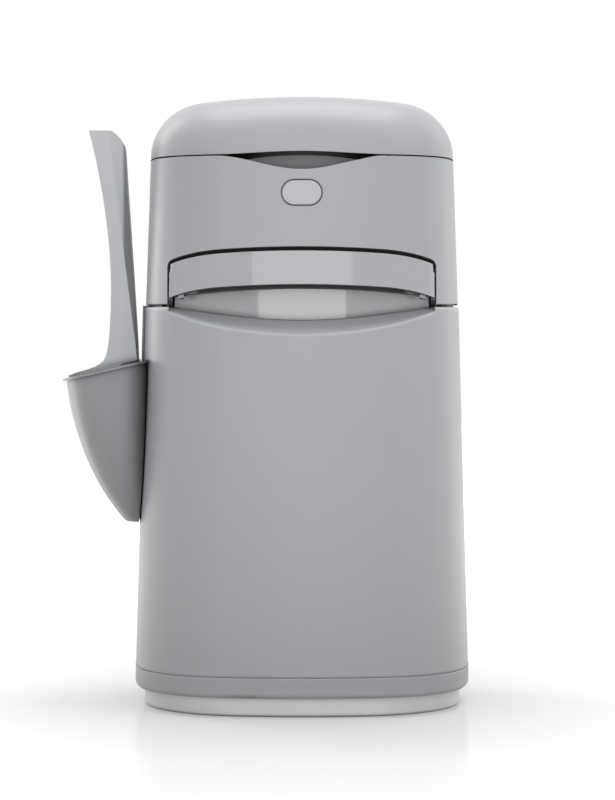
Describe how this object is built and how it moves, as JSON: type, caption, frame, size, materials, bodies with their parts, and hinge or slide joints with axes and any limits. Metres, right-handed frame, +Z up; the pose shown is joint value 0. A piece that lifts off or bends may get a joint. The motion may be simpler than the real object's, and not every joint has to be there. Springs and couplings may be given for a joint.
{
  "type": "litter disposal pail",
  "caption": "Tall rounded pail for used cat litter with a hinged head and lid, a pull handle that opens a clamp, a release button and a scoop in a side holder.",
  "frame": {"origin": "on the floor under the middle of the pail, on the underside of the foot", "axes": "+Z up, -Y towards the front with the handle, -X towards the scoop holder"},
  "size_m": [0.2888, 0.2181, 0.4283],
  "materials": {
    "shell_plastic": "fine satin moulded texture",
    "trim_plastic": "fine satin moulded texture",
    "gloss_grey": "smooth gloss",
    "holder_plastic": "satin",
    "scoop_plastic": "satin",
    "inner_plastic": "plain moulded",
    "dark_plastic": "plain moulded",
    "cassette_plastic": "plain moulded",
    "film": "thin pleated film",
    "soft_rubber": "matt",
    "steel": "zinc plated"
  },
  "bodies": {
    "base": {"base_shell": "shell_plastic", "trim_ring": "trim_plastic", "foot_plinth": "shell_plastic", "grip_pads": "soft_rubber", "foot_screws": "steel", "rim_collar": "dark_plastic", "rim_bumpers": "soft_rubber", "latch_keeper": "dark_plastic", "keeper_screws": "steel", "scoop_holder": "holder_plastic", "holder_bumper": "soft_rubber", "head_hinge_pin": "steel"},
    "head": {"head_shell": "shell_plastic", "handle_recess": "gloss_grey", "grip_pocket": "shell_plastic", "cassette_well": "inner_plastic", "deck_screws": "steel", "clamp_frame": "inner_plastic", "frame_screws": "steel", "rear_jaw": "dark_plastic", "rear_jaw_pad": "soft_rubber", "jaw_screws": "steel", "spring_rods": "steel", "clamp_springs": "steel", "film_cutter": "dark_plastic", "cutter_blade": "steel", "cassette_tray": "cassette_plastic", "cassette_cap": "cassette_plastic", "film_pack": "film", "latch_pivot_pin": "steel", "latch_spring": "steel", "lid_hinge_pin": "steel"},
    "handle": {"handle_band": "gloss_grey", "front_jaw": "dark_plastic", "front_jaw_pad": "soft_rubber", "handle_screws": "steel"},
    "button": {"release_button": "gloss_grey"},
    "latch": {"latch_lever": "dark_plastic"},
    "lid": {"lid_shell": "shell_plastic", "lid_liner": "dark_plastic", "lid_seal": "soft_rubber", "lid_screws": "steel"},
    "scoop": {"litter_scoop": "scoop_plastic"}
  },
  "joints": [
    {"name": "head_hinge", "type": "hinge", "parent": "base", "child": "head", "pos_m": [0, 0.1055, 0.2808], "axis": [-1, 0, 0], "range_deg": [0, 92]},
    {"name": "lid_hinge", "type": "hinge", "parent": "head", "child": "lid", "pos_m": [0, 0.101, 0.3836], "axis": [-1, 0, 0], "range_deg": [0, 100]},
    {"name": "handle_pull", "type": "slide", "parent": "head", "child": "handle", "axis": [0, -0.9426, 0.3338], "range_m": [0, 0.04], "stiffness_N_per_m": 300, "springref_m": -0.02, "deforming": ["clamp_springs"]},
    {"name": "button_press", "type": "slide", "parent": "head", "child": "button", "axis": [0, 1, 0], "range_m": [0, 0.003], "stiffness_N_per_m": 800, "springref_m": -0.001},
    {"name": "latch_release", "type": "hinge", "parent": "head", "child": "latch", "pos_m": [0, -0.0705, 0.3207], "axis": [-1, 0, 0], "range_deg": [0, 5]},
    {"name": "scoop_lift", "type": "slide", "parent": "base", "child": "scoop", "axis": [0, 0, 1], "range_m": [0, 0.17]}
  ],
  "couplings": [
    {"joint": "latch_release", "follows": "button_press", "rad_per_m": 28.5}
  ]
}
